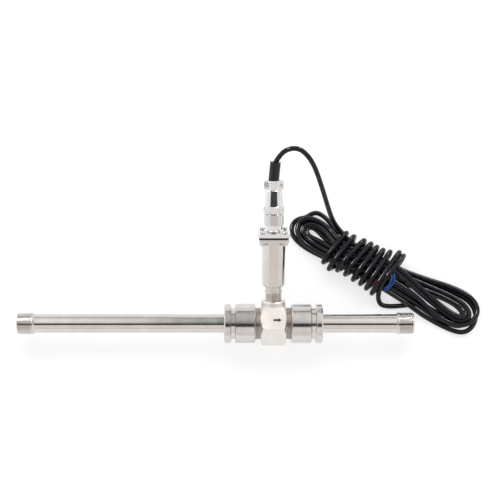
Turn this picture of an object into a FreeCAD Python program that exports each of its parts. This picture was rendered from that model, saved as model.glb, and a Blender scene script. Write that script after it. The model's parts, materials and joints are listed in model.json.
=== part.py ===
import FreeCAD, Part
import math
import os

# An inline turbine flow meter, in millimetres. The inlet end face is at the origin, the liquid flows
# along +X, and the meter lies on one flat of its hexagon with the pickup stem leaning away and up.

# Pipe runs: outside and bore of the tube, free lengths up to the union collars, thread at each end
pipe_diameter = 18.0
bore_diameter = 10.0
inlet_run = 198.4
outlet_run = 87.6
thread_diameter = 20.955
thread_length = 15.2
thread_chamfer = 1.3
thread_run_out = 1.5

# Meter body: hexagon across flats and along the pipe, its turned end chamfer, the necks beside it
hexagon_across_flats = 38.0
hexagon_width = 23.4
hexagon_chamfer_degrees = 28.0
neck_step = 2.0
union_thread_length = 9.5
relief_length = 6.8
rotor_land_length = 12.0
carrier_ring_wall = 1.0
ring_groove_depth = 0.5
boss_inset = 0.1
boss_height = 4.0

# Unions: nut, sleeve with a lip inside the nut, and the collar that joins the sleeve to the pipe
nut_ground_gap = 0.1
nut_wall = 1.9
nut_length = 19.7
nut_offset = 5.3
lip_step = 1.0
lip_thickness = 3.0
seal_thickness = 1.5
seal_bore_step = 2.0
collar_thickness = 6.7
collar_gap = 3.6
socket_depth = 3.0
sleeve_tail_wall = 3.0
edge_chamfer = 1.2
body_edge_chamfer = 0.6

# Turbine: rotor, shaft, bushes and the two vaned carriers that hold it on the axis
rotor_tip_gap = 0.3
rotor_length = 8.0
rotor_hub_diameter = 3.6
rotor_blades = 5
rotor_twist_degrees = 62.0
blade_sections = 7
blade_thickness = 0.5
shaft_diameter = 1.2
bush_wall = 0.6
bush_length = 2.0
carrier_length = 14.0
carrier_hub_wall = 0.9
carrier_hub_setback = 0.9
carrier_nose_length = 4.0
carrier_vanes = 4
vane_thickness = 0.6
retaining_ring_thickness = 0.9
retaining_ring_width = 1.3
retaining_ring_gap_degrees = 50.0

# Pickup: threaded stem in the boss, its coil and magnet, and the lock ring on the stem
stem_diameter = 15.8
stem_shoulder = 0.9
stem_wall = 2.0
stem_top = 37.0
body_wall_under_stem = 3.4
stem_floor_thickness = 0.8
stem_spigot_length = 5.0
lock_ring_step = 0.6
lock_ring_height = 1.2
lock_ring_station = 31.6
magnet_diameter = 4.8
magnet_length = 16.0
coil_length = 13.0

# Amplifier housing: round sleeve with a square head that carries the connector
housing_diameter = 22.2
housing_wall = 1.6
housing_floor = 5.0
housing_height = 47.4
housing_corner_radius = 2.6
head_edge = 3.5
head_thickness = 3.2
head_corner_radius = 2.5
board_thickness = 1.6
board_height = 30.0
board_lift = 2.0
chip_sizes = ((8.0, 4.5, 6.0), (6.0, 3.0, 16.0), (4.0, 1.5, 24.0))
chip_thickness = 1.5

# Connector on the head: gasket, square flange with its barrel, screws with nuts under the head
gasket_thickness = 2.3
gasket_hole_gap = 0.3
flange_overhang = 1.35
flange_thickness = 3.4
flange_corner_radius = 3.0
screw_diameter = 3.0
screw_end = 0.8
screw_head_step = 1.0
screw_head_height = 1.7
screw_head_round = 0.6
screw_slot_width = 0.8
screw_slot_depth = 0.8
left_slot_degrees = 35.0
right_slot_degrees = -20.0
screw_nut_step = 1.25
screw_nut_height = 2.4
screw_nut_gap = 1.0
barrel_diameter = 16.4
barrel_wall = 1.0
barrel_length = 14.0
barrel_root_step = 1.2
barrel_root_height = 1.4
barrel_root_slope = 0.6
barrel_chamfer = 0.5
rear_barrel_step = 0.7
rear_barrel_wall = 1.3
rear_barrel_length = 6.0
insert_thickness = 8.0
insert_sunk = 1.0
contact_diameter = 1.2
contact_circle_diameter = 7.0
contact_count = 5
contact_length = 14.0
contact_tail = 4.0

# Plug: coupling ring, front shell, ribbed and tapered backshell, clamp and shrink sleeve
coupling_skirt = 1.1
coupling_length = 10.8
coupling_offset = 6.4
coupling_end_wall = 1.8
coupling_chamfer = 0.5
plug_nose_length = 6.5
plug_wall = 0.8
plug_collar_thickness = 1.2
plug_insert_setback = 1.0
plug_insert_tail = 4.0
backshell_gap = 0.6
band_step = 0.4
band_length = 7.3
band_chamfer = 0.4
band_ribs = 36
band_rib_depth = 0.35
band_groove_width = 0.5
band_groove_inset = 0.8
taper_step = 0.35
taper_fall = 1.35
taper_length = 15.5
taper_chamfer = 1.0
backshell_wall = 2.2
backshell_roof = 1.2
clamp_height = 8.6
clamp_wall = 1.6
clamp_ear_thickness = 2.8
clamp_ear_reach = 2.5
clamp_split = 0.6
clamp_screw_diameter = 2.5
clamp_screw_wall = 0.55
clamp_screw_end = 0.8
clamp_screw_head_step = 1.05
clamp_screw_head_height = 1.6
clamp_head_gap = 0.3
clamp_slot_degrees = 40.0
sleeve_diameter = 10.2
sleeve_length = 26.0
sleeve_lean_degrees = 5.4
sleeve_bend_radius = 40.0

# Cable: thickness, the route of its free stretch, and the hank that the rest is wound into
cable_diameter = 4.8
lead_sunk = 0.5
lead_route = (
    (252.6, 141.2, 83.8),
    (261.4, 144.3, 88.4),
    (271.2, 144.0, 89.3),
    (280.4, 139.7, 86.2),
    (285.6, 132.4, 79.4),
    (288.4, 123.6, 67.0),
    (292.3, 113.8, 52.5),
    (297.3, 104.7, 36.0),
    (303.9, 96.5, 20.0),
    (313.3, 89.1, 6.5),
    (323.4, 83.0, -2.5),
)
hank_middle = (349.4, 55.1)
hank_turn_degrees = -28.5
hank_lower_height = 6.0
hank_upper_height = 11.0
hank_tail_height = 4.8
hank_wraps_from = -50.5
hank_wraps_to = 10.5
hank_wraps_aside = 0.9
hank_wraps_half_width = 21.0
hank_wraps_half_height = 9.6

# Round ends of the hank's layers: place along the hank, place across it, and radius
hank_waist = (-21.0, 0.5, 14.2)
hank_lower_left = (-84.2, 4.2, 16.0)
hank_lower_right = (84.7, 1.5, 21.7)
hank_upper_left = (-77.8, 4.5, 16.0)
hank_upper_right = (84.5, 3.9, 19.0)
hank_loose_loop = (-76.8, 15.0, 14.3)
hank_tail_bend = (18.2, -22.4, 7.2)
hank_tail_end = (38.0, -10.0, 7.0)

# Clearances: turning fits, screwed or brazed fits that stay put, and the axial play of what turns
turning_fit = 0.05
seated_fit = 0.02
axial_play = 0.1

# How far a cutter runs past the face that it opens, and how deep a joined piece is let in
cut_past = 1.0
let_in = 0.3

# How the meter lies: the stem leans from the vertical by one side of the hexagon
lean_degrees = 60.0

# Diameters that follow from the hexagon, the bore, the tube and the stem
nut_diameter = hexagon_across_flats - 2 * nut_ground_gap
collar_diameter = nut_diameter
union_thread_diameter = nut_diameter - 2 * nut_wall
neck_diameter = union_thread_diameter - 2 * neck_step
lip_diameter = union_thread_diameter - 2 * lip_step
seal_inner_diameter = bore_diameter + 2 * seal_bore_step
socket_diameter = pipe_diameter + 2 * sleeve_tail_wall
carrier_bore_diameter = bore_diameter + 2 * carrier_ring_wall
rotor_diameter = bore_diameter - 2 * rotor_tip_gap
bush_diameter = shaft_diameter + 2 * bush_wall
carrier_hub_diameter = bush_diameter + 2 * carrier_hub_wall
boss_diameter = hexagon_width - 2 * boss_inset
stem_thread_diameter = stem_diameter - 2 * stem_shoulder
stem_bore_diameter = stem_thread_diameter - 2 * stem_wall
stem_spigot_diameter = stem_thread_diameter
lock_ring_diameter = stem_diameter + 2 * lock_ring_step

# Sizes of the head, the flange, the barrel, the plug and the clamp, each from the one inside it
screw_head_diameter = screw_diameter + 2 * screw_head_step
screw_nut_across_flats = screw_diameter + 2 * screw_nut_step
screw_spacing = math.sqrt(2) * (housing_diameter / 2 + screw_nut_gap + screw_nut_across_flats / 2)
head_side = screw_spacing + 2 * head_edge
flange_side = head_side + 2 * flange_overhang
barrel_bore_diameter = barrel_diameter - 2 * barrel_wall
rear_barrel_diameter = barrel_diameter - 2 * rear_barrel_step
coupling_diameter = barrel_diameter + 2 * coupling_skirt
band_diameter = coupling_diameter + 2 * band_step
taper_lower_diameter = band_diameter - 2 * taper_step
taper_upper_diameter = taper_lower_diameter - 2 * taper_fall
clamp_outer_diameter = sleeve_diameter + 2 * clamp_wall
clamp_screw_spacing = sleeve_diameter + clamp_screw_diameter + 2 * clamp_screw_wall
clamp_width = clamp_screw_spacing + 2 * clamp_ear_reach
clamp_screw_head_diameter = clamp_screw_diameter + 2 * clamp_screw_head_step

# Places along the pipe, measured from the inlet face, and half widths measured from the stem
collar_outer = hexagon_width / 2 + nut_offset + nut_length + collar_gap + collar_thickness
stem_x = inlet_run + collar_outer
overall_length = stem_x + collar_outer + outlet_run
hexagon_face = hexagon_width / 2
nut_near = hexagon_face + nut_offset
nut_far = nut_near + nut_length
spigot_end = hexagon_face + relief_length + union_thread_length
lip_near = spigot_end + seal_thickness
lip_far = lip_near + lip_thickness
collar_near = nut_far + collar_gap
sleeve_end = collar_near + socket_depth
carrier_near = rotor_land_length / 2
carrier_far = carrier_near + carrier_length
hub_end = rotor_length / 2 + axial_play + carrier_hub_setback

# Places along the stem, measured from the flow axis
boss_top = hexagon_across_flats / 2 + boss_height
stem_floor = bore_diameter / 2 + body_wall_under_stem
housing_base = stem_top
head_top = housing_base + housing_height
head_base = head_top - head_thickness
flange_base = head_top + gasket_thickness
flange_top = flange_base + flange_thickness
barrel_top = flange_top + barrel_length
coupling_base = flange_top + coupling_offset
coupling_top = coupling_base + coupling_length
plug_collar_top = coupling_top - coupling_end_wall - axial_play
plug_collar_base = plug_collar_top - plug_collar_thickness
band_base = coupling_top + backshell_gap
taper_base = band_base + band_length
clamp_base = taper_base + taper_length
clamp_middle = clamp_base + clamp_height / 2
clamp_top = clamp_base + clamp_height
clamp_ear_face = clamp_split / 2 + clamp_ear_thickness

along_x = FreeCAD.Vector(1, 0, 0)
along_y = FreeCAD.Vector(0, 1, 0)
along_z = FreeCAD.Vector(0, 0, 1)
origin = FreeCAD.Vector(0, 0, 0)


def turned_on_pipe(profile, x=0.0):
    """A solid of revolution about the flow axis, from (distance along it, radius) points."""
    points = [FreeCAD.Vector(x + a, 0, r) for a, r in profile]
    return Part.Face(Part.makePolygon(points + points[:1])).revolve(origin, along_x, 360)


def turned_on_stem(profile):
    """A solid of revolution about the stem axis, from (radius, height) points."""
    points = [FreeCAD.Vector(r, 0, h) for r, h in profile]
    return Part.Face(Part.makePolygon(points + points[:1])).revolve(origin, along_z, 360)


def pipe_cylinder(radius, start, end):
    """A round bar on the flow axis, between two distances from the stem."""
    return Part.makeCylinder(radius, end - start, FreeCAD.Vector(stem_x + start, 0, 0), along_x)


def stem_cylinder(radius, base, top, x=0.0, y=0.0):
    """A round bar parallel to the stem."""
    return Part.makeCylinder(radius, top - base, FreeCAD.Vector(x, y, base), along_z)


def block(x_size, y_size, base, top, x=0.0, y=0.0):
    """A box that is centred on x and y and stands from base to top."""
    corner = FreeCAD.Vector(x - x_size / 2, y - y_size / 2, base)
    return Part.makeBox(x_size, y_size, top - base, corner)


def square_plate(side, corner_radius, base, top):
    """A square plate with rounded corners, across the stem."""
    plate = block(side, side, base, top)
    upright = [e for e in plate.Edges if abs(e.tangentAt(e.FirstParameter).z) > 0.9]
    return plate.makeFillet(corner_radius, upright)


def mirrored_to_outlet(shape):
    """The same piece on the other side of the stem."""
    return shape.mirror(FreeCAD.Vector(stem_x, 0, 0), along_x)


def hexagon_points(across_flats):
    """Corners of a regular hexagon, the first of them on the first axis of its plane."""
    radius = across_flats / 2 / math.cos(math.radians(30))
    turns = [math.radians(60 * i) for i in range(6)]
    return [(radius * math.cos(t), radius * math.sin(t)) for t in turns]


def pipe_run(length, end_face):
    """A tube from its threaded end at x = 0 up to the face that it butts against in the union."""
    outer = thread_diameter / 2
    tube = pipe_diameter / 2
    bore = bore_diameter / 2
    threaded_to = thread_length + thread_run_out
    return turned_on_pipe([
        (0, bore),
        (0, outer - thread_chamfer),
        (thread_chamfer, outer),
        (thread_length, outer),
        (threaded_to, tube),
        (length + end_face, tube),
        (length + end_face, bore),
    ])


def collar():
    """The ring outside the union nut, bored for the pipe on one side and the sleeve on the other."""
    outer = collar_diameter / 2
    pipe_hole = pipe_diameter / 2 + seated_fit
    socket = socket_diameter / 2 + seated_fit
    return turned_on_pipe([
        (-collar_outer, pipe_hole),
        (-collar_outer, outer - edge_chamfer),
        (-collar_outer + edge_chamfer, outer),
        (-collar_near - edge_chamfer, outer),
        (-collar_near, outer - edge_chamfer),
        (-collar_near, socket),
        (-sleeve_end, socket),
        (-sleeve_end, pipe_hole),
    ], stem_x)


def union_sleeve():
    """The bored sleeve whose lip is held inside the nut and whose tail stands in the collar."""
    bore = bore_diameter / 2
    return turned_on_pipe([
        (-sleeve_end, bore),
        (-sleeve_end, socket_diameter / 2),
        (-collar_near, socket_diameter / 2),
        (-collar_near, neck_diameter / 2),
        (-lip_far, neck_diameter / 2),
        (-lip_far, lip_diameter / 2),
        (-lip_near, lip_diameter / 2),
        (-lip_near, bore),
    ], stem_x)


def union_nut():
    """The nut, threaded on the meter body and closed down behind the sleeve's lip."""
    outer = nut_diameter / 2
    thread = union_thread_diameter / 2 + turning_fit
    hole = neck_diameter / 2 + turning_fit
    wall = lip_far + axial_play
    return turned_on_pipe([
        (-nut_far, hole),
        (-nut_far, outer - edge_chamfer),
        (-nut_far + edge_chamfer, outer),
        (-nut_near - edge_chamfer, outer),
        (-nut_near, outer - edge_chamfer),
        (-nut_near, thread + body_edge_chamfer),
        (-nut_near - body_edge_chamfer, thread),
        (-wall, thread),
        (-wall, hole),
    ], stem_x)


def seal_ring():
    """The flat ring that is squeezed between the body's end face and the sleeve."""
    return turned_on_pipe([
        (-lip_near, seal_inner_diameter / 2),
        (-lip_near, lip_diameter / 2),
        (-spigot_end, lip_diameter / 2),
        (-spigot_end, seal_inner_diameter / 2),
    ], stem_x)


def hexagon_block():
    """The hexagon bar with both ends turned to a chamfer, one flat square to the stem."""
    section = hexagon_points(hexagon_across_flats)
    corners = [FreeCAD.Vector(stem_x - hexagon_face, a, b) for a, b in section]
    outline = Part.Face(Part.makePolygon(corners + corners[:1]))
    bar = outline.extrude(FreeCAD.Vector(hexagon_width, 0, 0))
    flat = hexagon_across_flats / 2
    corner = flat / math.cos(math.radians(30)) + cut_past
    cut_back = (corner - flat) * math.tan(math.radians(hexagon_chamfer_degrees))
    envelope = turned_on_pipe([
        (-hexagon_face, 0),
        (-hexagon_face, flat),
        (-hexagon_face + cut_back, corner),
        (hexagon_face - cut_back, corner),
        (hexagon_face, flat),
        (hexagon_face, 0),
    ], stem_x)
    return bar.common(envelope)


def body_spigot():
    """One end of the body: a plain neck and then the thread that the union nut turns on."""
    neck = neck_diameter / 2
    thread = union_thread_diameter / 2
    thread_start = hexagon_face + relief_length
    return turned_on_pipe([
        (-spigot_end, 0),
        (-spigot_end, thread - body_edge_chamfer),
        (-spigot_end + body_edge_chamfer, thread),
        (-thread_start - body_edge_chamfer, thread),
        (-thread_start, thread - body_edge_chamfer),
        (-thread_start, neck),
        (0, neck),
        (0, 0),
    ], stem_x)


def meter_body():
    """Hexagon, both spigots and the stem's boss in one piece, with the flow bore and its steps."""
    boss = turned_on_stem([
        (0, 0),
        (boss_diameter / 2, 0),
        (boss_diameter / 2, boss_top - body_edge_chamfer),
        (boss_diameter / 2 - body_edge_chamfer, boss_top),
        (0, boss_top),
    ])
    boss.translate(FreeCAD.Vector(stem_x, 0, 0))
    solid = hexagon_block().fuse([body_spigot(), mirrored_to_outlet(body_spigot()), boss])
    carrier_bore = carrier_bore_diameter / 2
    groove = carrier_bore + ring_groove_depth
    groove_far = carrier_far + retaining_ring_thickness + axial_play
    through = spigot_end + cut_past
    cuts = [pipe_cylinder(bore_diameter / 2, -through, through)]
    for side in (-1, 1):
        near, far = sorted((side * carrier_near, side * through))
        cuts.append(pipe_cylinder(carrier_bore, near, far))
        near, far = sorted((side * carrier_far, side * groove_far))
        cuts.append(pipe_cylinder(groove, near, far))
    tapped = stem_thread_diameter / 2 + seated_fit
    cuts.append(stem_cylinder(tapped, stem_floor, boss_top + cut_past, stem_x))
    return solid.cut(cuts).removeSplitter()


def carrier():
    """A ring with radial vanes and a pointed hub, which steadies the flow and holds a bush."""
    bore = bore_diameter / 2
    outer = carrier_bore_diameter / 2 - seated_fit
    hub = carrier_hub_diameter / 2
    pocket = bush_diameter / 2 + seated_fit
    ring = turned_on_pipe([
        (-carrier_far, bore),
        (-carrier_far, outer),
        (-carrier_near, outer),
        (-carrier_near, bore),
    ], stem_x)
    spindle = turned_on_pipe([
        (-carrier_far, 0),
        (-carrier_far + carrier_nose_length, hub),
        (-hub_end, hub),
        (-hub_end, pocket),
        (-hub_end - bush_length, pocket),
        (-hub_end - bush_length, 0),
    ], stem_x)
    vanes = []
    vane_length = carrier_length - carrier_nose_length
    for i in range(carrier_vanes):
        corner = FreeCAD.Vector(stem_x - carrier_near - vane_length, -vane_thickness / 2, hub - let_in)
        vane = Part.makeBox(vane_length, vane_thickness, bore - hub + 2 * let_in, corner)
        vane.rotate(FreeCAD.Vector(stem_x, 0, 0), along_x, 360 * i / carrier_vanes)
        vanes.append(vane)
    return ring.fuse([spindle] + vanes).removeSplitter()


def bush():
    """A plain bearing in the pocket of the carrier's hub."""
    hole = shaft_diameter / 2 + turning_fit / 2
    return turned_on_pipe([
        (-hub_end - bush_length, hole),
        (-hub_end - bush_length, bush_diameter / 2),
        (-hub_end, bush_diameter / 2),
        (-hub_end, hole),
    ], stem_x)


def rotor_blade(turn_degrees):
    """One blade, lofted through sections that turn as they go along the axis."""
    sections = []
    half = blade_thickness / 2
    inner = rotor_hub_diameter / 2 - let_in
    outer = rotor_diameter / 2 + cut_past
    corners = [(-half, inner), (half, inner), (half, outer), (-half, outer)]
    for i in range(blade_sections):
        share = i / (blade_sections - 1) - 0.5
        x = stem_x + share * rotor_length
        section = Part.makePolygon([FreeCAD.Vector(x, a, b) for a, b in corners + corners[:1]])
        section.rotate(FreeCAD.Vector(x, 0, 0), along_x, turn_degrees + share * rotor_twist_degrees)
        sections.append(section)
    return Part.makeLoft(sections, True, False)


def rotor():
    """The turbine wheel: a hub with twisted blades, bored for its shaft."""
    half = rotor_length / 2
    hub = pipe_cylinder(rotor_hub_diameter / 2, -half, half)
    blades = [rotor_blade(360 * i / rotor_blades) for i in range(rotor_blades)]
    wheel = hub.fuse(blades).common(pipe_cylinder(rotor_diameter / 2, -half, half))
    through = half + cut_past
    hole = pipe_cylinder(shaft_diameter / 2 + seated_fit, -through, through)
    return wheel.cut(hole).removeSplitter()


def rotor_shaft():
    """The pin that the rotor is pressed on, its ends in the two bushes."""
    reach = hub_end + bush_length - 2 * axial_play
    return pipe_cylinder(shaft_diameter / 2, -reach, reach)


def retaining_ring():
    """A split ring that snaps into the groove behind a carrier."""
    outer = carrier_bore_diameter / 2 + ring_groove_depth - seated_fit
    ring = turned_on_pipe([
        (-carrier_far - retaining_ring_thickness, outer - retaining_ring_width),
        (-carrier_far - retaining_ring_thickness, outer),
        (-carrier_far, outer),
        (-carrier_far, outer - retaining_ring_width),
    ], stem_x)
    reach = outer + cut_past
    half_gap = math.radians(retaining_ring_gap_degrees / 2)
    x = stem_x - carrier_far - retaining_ring_thickness - cut_past
    wedge = [
        FreeCAD.Vector(x, 0, 0),
        FreeCAD.Vector(x, reach * math.sin(half_gap), reach * math.cos(half_gap)),
        FreeCAD.Vector(x, -reach * math.sin(half_gap), reach * math.cos(half_gap)),
    ]
    gap = Part.Face(Part.makePolygon(wedge + wedge[:1]))
    return ring.cut(gap.extrude(FreeCAD.Vector(retaining_ring_thickness + 2 * cut_past, 0, 0)))


def pickup_stem():
    """The hollow stem, screwed into the boss and closed at its lower end."""
    thread = stem_thread_diameter / 2
    outer = stem_diameter / 2
    bore = stem_bore_diameter / 2
    ring = lock_ring_diameter / 2
    return turned_on_stem([
        (0, stem_floor),
        (thread, stem_floor),
        (thread, boss_top),
        (outer, boss_top),
        (outer, lock_ring_station),
        (ring, lock_ring_station),
        (ring, lock_ring_station + lock_ring_height),
        (outer, lock_ring_station + lock_ring_height),
        (outer, stem_top),
        (stem_spigot_diameter / 2, stem_top),
        (stem_spigot_diameter / 2, stem_top + stem_spigot_length),
        (bore, stem_top + stem_spigot_length),
        (bore, stem_floor + stem_floor_thickness),
        (0, stem_floor + stem_floor_thickness),
    ])


def pickup_magnet():
    """The bar magnet on the floor of the stem."""
    base = stem_floor + stem_floor_thickness
    return stem_cylinder(magnet_diameter / 2, base, base + magnet_length)


def pickup_coil():
    """The winding on its bobbin, round the magnet and inside the stem."""
    base = stem_floor + stem_floor_thickness
    top = base + coil_length
    bobbin = stem_cylinder(stem_bore_diameter / 2 - seated_fit, base, top)
    return bobbin.cut(stem_cylinder(magnet_diameter / 2 + seated_fit, base - cut_past, top + cut_past))


def housing():
    """The round sleeve with its square head, bored for the stem below and open to the connector."""
    outer = housing_diameter / 2
    sleeve = stem_cylinder(outer, housing_base, head_top)
    foot = [e for e in sleeve.Edges if e.BoundBox.ZMax < housing_base + cut_past]
    sleeve = sleeve.makeFillet(housing_corner_radius, foot)
    head = square_plate(head_side, head_corner_radius, head_base, head_top)
    inside = stem_cylinder(outer - housing_wall, housing_base + housing_floor, head_top + cut_past)
    socket = stem_cylinder(stem_spigot_diameter / 2 + seated_fit, housing_base - cut_past, head_top)
    holes = [screw_hole(x, y, head_base, head_top) for x, y in screw_places()]
    return sleeve.fuse(head).cut([inside, socket] + holes).removeSplitter()


def screw_places():
    """The four corners of the flange's screw pattern."""
    half = screw_spacing / 2
    return [(-half, -half), (half, -half), (-half, half), (half, half)]


def screw_hole(x, y, base, top):
    """A cutter for one of the four clearance holes."""
    return stem_cylinder(screw_diameter / 2 + turning_fit, base - cut_past, top + cut_past, x, y)


def amplifier_board():
    """The circuit board that stands in the housing, its long edges against the wall."""
    inside = housing_diameter / 2 - housing_wall
    width = 2 * math.sqrt(inside ** 2 - (board_thickness / 2) ** 2) - 2 * seated_fit
    base = housing_base + housing_floor + board_lift
    board = block(width, board_thickness, base, base + board_height)
    chips = []
    y = -board_thickness / 2 - chip_thickness / 2
    for chip_width, chip_height, lift in chip_sizes:
        foot = base + lift
        chips.append(block(chip_width, chip_thickness, foot, foot + chip_height, 0, y))
    return board.fuse(chips).removeSplitter()


def head_gasket():
    """The flat rubber plate between the head and the flange."""
    plate = square_plate(head_side, head_corner_radius, head_top, flange_base)
    radius = rear_barrel_diameter / 2 + gasket_hole_gap
    middle = stem_cylinder(radius, head_top - cut_past, flange_base + cut_past)
    return plate.cut([middle] + [screw_hole(x, y, head_top, flange_base) for x, y in screw_places()])


def receptacle_shell():
    """The square flange with its threaded barrel above and a short barrel in the housing."""
    flange = square_plate(flange_side, flange_corner_radius, flange_base, flange_top)
    outer = barrel_diameter / 2
    root = outer + barrel_root_step
    root_top = flange_top + barrel_root_height
    rear = rear_barrel_diameter / 2
    rear_base = flange_base - rear_barrel_length
    barrel = turned_on_stem([
        (0, rear_base),
        (rear, rear_base),
        (rear, flange_base),
        (root, flange_base),
        (root, root_top),
        (outer, root_top + barrel_root_slope),
        (outer, barrel_top - barrel_chamfer),
        (outer - barrel_chamfer, barrel_top),
        (0, barrel_top),
    ])
    bore_top = stem_cylinder(barrel_bore_diameter / 2, flange_top - insert_sunk, barrel_top + cut_past)
    bore_rear = stem_cylinder(rear - rear_barrel_wall, rear_base - cut_past, flange_top)
    holes = [screw_hole(x, y, flange_base, flange_top) for x, y in screw_places()]
    return flange.fuse(barrel).cut([bore_top, bore_rear] + holes).removeSplitter()


def contact_places():
    """Where the contacts stand, evenly on their circle."""
    radius = contact_circle_diameter / 2
    turns = [2 * math.pi * i / contact_count for i in range(contact_count)]
    return [(radius * math.cos(t), radius * math.sin(t)) for t in turns]


def insulator(radius, base, top, contact_fit):
    """A round insert with a hole for each contact."""
    disc = stem_cylinder(radius, base, top)
    hole = contact_diameter / 2 + contact_fit
    start, end = base - cut_past, top + cut_past
    return disc.cut([stem_cylinder(hole, start, end, x, y) for x, y in contact_places()])


def receptacle_insert():
    """The insulator that holds the pins, on the step in the barrel."""
    base = flange_top - insert_sunk
    return insulator(barrel_bore_diameter / 2 - seated_fit, base, base + insert_thickness, seated_fit)


def contact_pins():
    """The five pins, with solder tails below the insulator."""
    base = flange_top - contact_tail
    top = base + contact_length
    pins = [stem_cylinder(contact_diameter / 2, base, top, x, y) for x, y in contact_places()]
    return Part.makeCompound(pins)


def flange_screws():
    """Four pan-head screws, slotted, through the flange, the gasket and the head."""
    screws = []
    tip = head_base - screw_nut_height - screw_end
    top = flange_top + screw_head_height
    slot_length = screw_head_diameter + 2 * cut_past
    for x, y in screw_places():
        shank = stem_cylinder(screw_diameter / 2, tip, flange_top + let_in, x, y)
        head = stem_cylinder(screw_head_diameter / 2, flange_top, top, x, y)
        rim = [e for e in head.Edges if e.BoundBox.ZMin > flange_top + let_in]
        head = head.makeFillet(screw_head_round, rim)
        slot = block(slot_length, screw_slot_width, top - screw_slot_depth, top + cut_past)
        slot.rotate(origin, along_z, left_slot_degrees if x < 0 else right_slot_degrees)
        slot.translate(FreeCAD.Vector(x, y, 0))
        screws.append(shank.fuse(head).cut(slot).removeSplitter())
    return Part.makeCompound(screws)


def flange_nuts():
    """Four hexagon nuts under the corners of the head."""
    nuts = []
    base = head_base - screw_nut_height
    for x, y in screw_places():
        corners = [FreeCAD.Vector(x + a, y + b, base) for a, b in hexagon_points(screw_nut_across_flats)]
        outline = Part.Face(Part.makePolygon(corners + corners[:1]))
        nut = outline.extrude(FreeCAD.Vector(0, 0, screw_nut_height))
        nut.rotate(FreeCAD.Vector(x, y, 0), along_z, math.degrees(math.atan2(y, x)) + 30)
        hole = stem_cylinder(screw_diameter / 2 + seated_fit, base - cut_past, head_base + cut_past, x, y)
        nuts.append(nut.cut(hole))
    return Part.makeCompound(nuts)


def coupling_ring():
    """The ring that turns on the plug and draws it onto the barrel."""
    outer = coupling_diameter / 2
    inner = barrel_diameter / 2 + turning_fit
    hole = barrel_bore_diameter / 2 + turning_fit
    return turned_on_stem([
        (inner, coupling_base),
        (outer - coupling_chamfer, coupling_base),
        (outer, coupling_base + coupling_chamfer),
        (outer, coupling_top - coupling_chamfer),
        (outer - coupling_chamfer, coupling_top),
        (hole, coupling_top),
        (hole, coupling_top - coupling_end_wall),
        (inner, coupling_top - coupling_end_wall),
    ])


def plug_shell():
    """The front shell: a nose inside the barrel, a collar on its rim, and a neck for the backshell."""
    neck = barrel_bore_diameter / 2
    nose = neck - turning_fit
    inner = nose - plug_wall
    collar_radius = barrel_diameter / 2
    top = band_base + band_length
    return turned_on_stem([
        (inner, plug_collar_base - plug_nose_length),
        (nose, plug_collar_base - plug_nose_length),
        (nose, plug_collar_base),
        (collar_radius, plug_collar_base),
        (collar_radius, plug_collar_top),
        (neck, plug_collar_top),
        (neck, top),
        (inner, top),
    ])


def plug_insert():
    """The plug's insulator, bored for the contacts, inside the front shell."""
    radius = barrel_bore_diameter / 2 - turning_fit - plug_wall - seated_fit
    base = plug_collar_base - plug_nose_length + plug_insert_setback
    return insulator(radius, base, plug_collar_top + plug_insert_tail, turning_fit)


def backshell():
    """The tapered shell behind the plug: a ribbed band, a cone, and the fixed half of the clamp."""
    band = band_diameter / 2
    lower = taper_lower_diameter / 2
    upper = taper_upper_diameter / 2
    shell = turned_on_stem([
        (0, band_base),
        (band - band_chamfer, band_base),
        (band, band_base + band_chamfer),
        (band, taper_base - band_chamfer),
        (lower, taper_base),
        (upper, clamp_base - taper_chamfer),
        (upper - taper_chamfer, clamp_base),
        (0, clamp_base),
    ])
    grooves = []
    groove_floor = band - band_rib_depth
    groove_foot = band_base + band_groove_inset
    groove_length = band_length - 2 * band_groove_inset
    for i in range(band_ribs):
        corner = FreeCAD.Vector(groove_floor, -band_groove_width / 2, groove_foot)
        groove = Part.makeBox(band_rib_depth + cut_past, band_groove_width, groove_length, corner)
        groove.rotate(origin, along_z, 360 * (i + 0.5) / band_ribs)
        grooves.append(groove)
    socket = stem_cylinder(barrel_bore_diameter / 2 + seated_fit, band_base - cut_past, taper_base)
    foot = FreeCAD.Vector(0, 0, taper_base)
    depth = taper_length - backshell_roof
    inside = Part.makeCone(lower - backshell_wall, upper - backshell_wall, depth, foot, along_z)
    entry = stem_cylinder(sleeve_diameter / 2 + seated_fit, taper_base, clamp_base + cut_past)
    return shell.fuse(clamp_half(1)).cut(grooves + [socket, inside, entry]).removeSplitter()


def clamp_half(side):
    """One half of the cable clamp: a half ring with an ear at each end, bored for the sleeve."""
    ears_at = side * (clamp_split + clamp_ear_thickness) / 2
    ears = block(clamp_width, clamp_ear_thickness, clamp_base, clamp_top, 0, ears_at)
    outline = [e for e in ears.Edges if abs(e.tangentAt(e.FirstParameter).y) > 0.9]
    ears = ears.makeFillet(clamp_height / 4, outline)
    saddle = stem_cylinder(clamp_outer_diameter / 2, clamp_base, clamp_top)
    half_at = side * (clamp_split + clamp_outer_diameter) / 2
    half_space = block(clamp_width, clamp_outer_diameter, clamp_base, clamp_top, 0, half_at)
    solid = ears.fuse(saddle.common(half_space))
    cuts = [stem_cylinder(sleeve_diameter / 2 + seated_fit, clamp_base - cut_past, clamp_top + cut_past)]
    for x in clamp_screw_places():
        cuts.append(clamp_screw_hole(x))
        cuts.append(clamp_spot_face(x, side))
    return solid.cut(cuts)


def clamp_screw_places():
    """Where the two clamp screws cross the clamp, either side of the sleeve."""
    return (-clamp_screw_spacing / 2, clamp_screw_spacing / 2)


def clamp_screw_hole(x):
    """A cutter right through both halves of the clamp."""
    reach = clamp_outer_diameter
    start = FreeCAD.Vector(x, -reach, clamp_middle)
    return Part.makeCylinder(clamp_screw_diameter / 2 + seated_fit, 2 * reach, start, along_y)


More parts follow.
